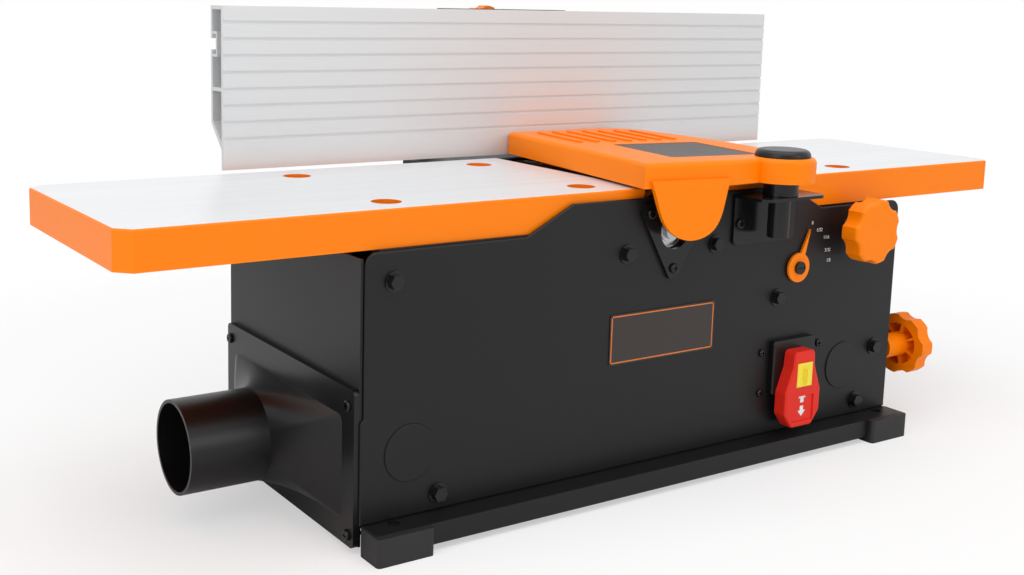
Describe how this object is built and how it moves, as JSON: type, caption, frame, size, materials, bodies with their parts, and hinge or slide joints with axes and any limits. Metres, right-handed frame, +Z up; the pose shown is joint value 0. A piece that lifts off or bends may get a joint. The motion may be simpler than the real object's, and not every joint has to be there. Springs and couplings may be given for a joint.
{
  "type": "benchtop jointer",
  "caption": "Benchtop jointer with two long tables, a spiral cutterhead, swinging guard, tilting fence and a dust outlet on the left end.",
  "frame": {"origin": "centre of the four bench bolt holes, on the plane that the feet stand on", "axes": "+X along the tables to the infeed end, +Y towards the fence, +Z up"},
  "size_m": [0.85, 0.4013, 0.3746],
  "materials": {
    "black_sheet": "semi-gloss powder coat",
    "black_casting": "black enamel",
    "table_casting": "milled top, orange painted edges",
    "fence_aluminium": "brushed extrusion",
    "motor_aluminium": "die cast",
    "pulley_aluminium": "turned",
    "black_plastic": "fine texture",
    "orange_plastic": "gloss",
    "red_plastic": "gloss",
    "yellow_plastic": "gloss",
    "black_rubber": "matt",
    "black_steel": "black oxide",
    "bright_steel": "zinc plated",
    "head_steel": "machined",
    "carbide": "ground",
    "brass": "machined",
    "badge": "bare plate with a thin orange border",
    "label": "bare label",
    "pointer_paint": "painted"
  },
  "bodies": {
    "base": {"front_panel": "black_sheet", "rear_panel": "black_sheet", "left_end_panel": "black_sheet", "right_end_panel": "black_sheet", "front_rail": "black_sheet", "rear_rail": "black_sheet", "foot_caps": "black_rubber", "knockout_discs": "black_plastic", "badge_plate": "badge", "front_side_casting": "black_casting", "rear_side_casting": "black_casting", "outfeed_crossbars": "black_casting", "outfeed_table": "table_casting", "outfeed_screws": "black_steel", "front_bearing": "bright_steel", "rear_bearing": "bright_steel", "bearing_retainer": "black_steel", "pan_head_screws": "black_steel", "drive_belt": "black_rubber", "belt_cover": "black_plastic", "motor_housing": "motor_aluminium", "chip_chute": "black_sheet", "dust_hood": "black_plastic", "hood_screws": "black_steel", "panel_bolts": "bright_steel", "rear_bolts": "bright_steel", "switch_bezel": "black_plastic", "switch_box": "black_plastic", "pointer_screw": "black_steel", "lock_bushing": "bright_steel", "bush_block": "black_casting", "guard_bracket": "black_steel", "fence_base": "black_casting", "tilt_pin": "bright_steel"},
    "infeed": {"infeed_table": "table_casting", "infeed_screws": "black_steel", "infeed_carriage": "black_casting", "depth_arm": "black_steel"},
    "depth_nut_body": {"depth_nut": "brass"},
    "depth_screw_body": {"leadscrew": "bright_steel", "depth_knob": "orange_plastic"},
    "pointer_body": {"depth_pointer": "pointer_paint"},
    "lock_body": {"lock_knob": "orange_plastic"},
    "head_body": {"cutterhead": "head_steel", "cutter_inserts": "carbide", "insert_screws": "bright_steel", "head_pulley": "pulley_aluminium"},
    "rotor_body": {"motor_shaft": "bright_steel", "motor_pulley": "pulley_aluminium"},
    "guard_body": {"guard": "orange_plastic", "guard_label": "label", "guard_cap": "black_plastic", "guard_shaft": "black_steel"},
    "fence_body": {"fence": "fence_aluminium", "fence_tilt_bracket": "black_casting", "slot_bolts": "bright_steel"},
    "fence_clamp_body": {"fence_clamp_knob": "orange_plastic"},
    "tilt_lever_body": {"tilt_lock_lever": "black_steel"},
    "paddle_body": {"switch_paddle": "red_plastic"},
    "key_body": {"safety_key": "yellow_plastic"}
  },
  "joints": [
    {"name": "infeed_slide", "type": "slide", "parent": "base", "child": "infeed", "axis": [0.9701, 0, -0.2425], "range_m": [0, 0.01319]},
    {"name": "depth_nut_slide", "type": "slide", "parent": "base", "child": "depth_nut_body", "axis": [1, 0, 0], "range_m": [0, 0.0128]},
    {"name": "depth_screw_turn", "type": "hinge", "parent": "base", "child": "depth_screw_body", "pos_m": [0.302, -0.096, 0.072], "axis": [1, 0, 0], "range_deg": [-1536, 0]},
    {"name": "depth_pointer_turn", "type": "hinge", "parent": "base", "child": "pointer_body", "pos_m": [0.143, -0.112, 0.1625], "axis": [0, 1, 0], "range_deg": [0, 75]},
    {"name": "lock_knob_turn", "type": "hinge", "parent": "base", "child": "lock_body", "pos_m": [0.208, -0.125, 0.192], "axis": [0, -1, 0], "range_deg": [0, 180]},
    {"name": "cutterhead_spin", "type": "hinge", "parent": "base", "child": "head_body", "pos_m": [0, 0, 0.206], "axis": [0, 1, 0], "continuous": true},
    {"name": "motor_spin", "type": "hinge", "parent": "base", "child": "rotor_body", "pos_m": [0.08, 0.03, 0.115], "axis": [0, 1, 0], "continuous": true},
    {"name": "guard_swing", "type": "hinge", "parent": "base", "child": "guard_body", "pos_m": [0.0955, -0.1305, 0.242], "axis": [0, 0, 1], "range_deg": [0, 70], "stiffness_Nm_per_rad": 0.3, "springref_deg": -28.65},
    {"name": "fence_tilt", "type": "hinge", "parent": "base", "child": "fence_body", "pos_m": [0.01, 0.106, 0.241], "axis": [-1, 0, 0], "range_deg": [0, 45]},
    {"name": "fence_clamp_turn", "type": "hinge", "parent": "fence_body", "child": "fence_clamp_body", "pos_m": [-0.002, 0.155, 0.3516], "axis": [0, 1, 0], "range_deg": [0, 180]},
    {"name": "tilt_lever_turn", "type": "hinge", "parent": "base", "child": "tilt_lever_body", "pos_m": [0.084, 0.18034, 0.2568], "axis": [-1, 0, 0], "range_deg": [0, 50]},
    {"name": "paddle_swing", "type": "hinge", "parent": "base", "child": "paddle_body", "pos_m": [0.141, -0.1163, 0.094], "axis": [-1, 0, 0], "range_deg": [0, 20]},
    {"name": "safety_key_pull", "type": "slide", "parent": "paddle_body", "child": "key_body", "axis": [0, -1, 0], "range_m": [0, 0.012]}
  ],
  "couplings": [
    {"joint": "depth_nut_slide", "follows": "infeed_slide", "ratio": 0.97014},
    {"joint": "depth_screw_turn", "follows": "infeed_slide", "rad_per_m": -2031.9},
    {"joint": "depth_pointer_turn", "follows": "infeed_slide", "rad_per_m": 99},
    {"joint": "motor_spin", "follows": "cutterhead_spin", "ratio": 1.3333}
  ]
}
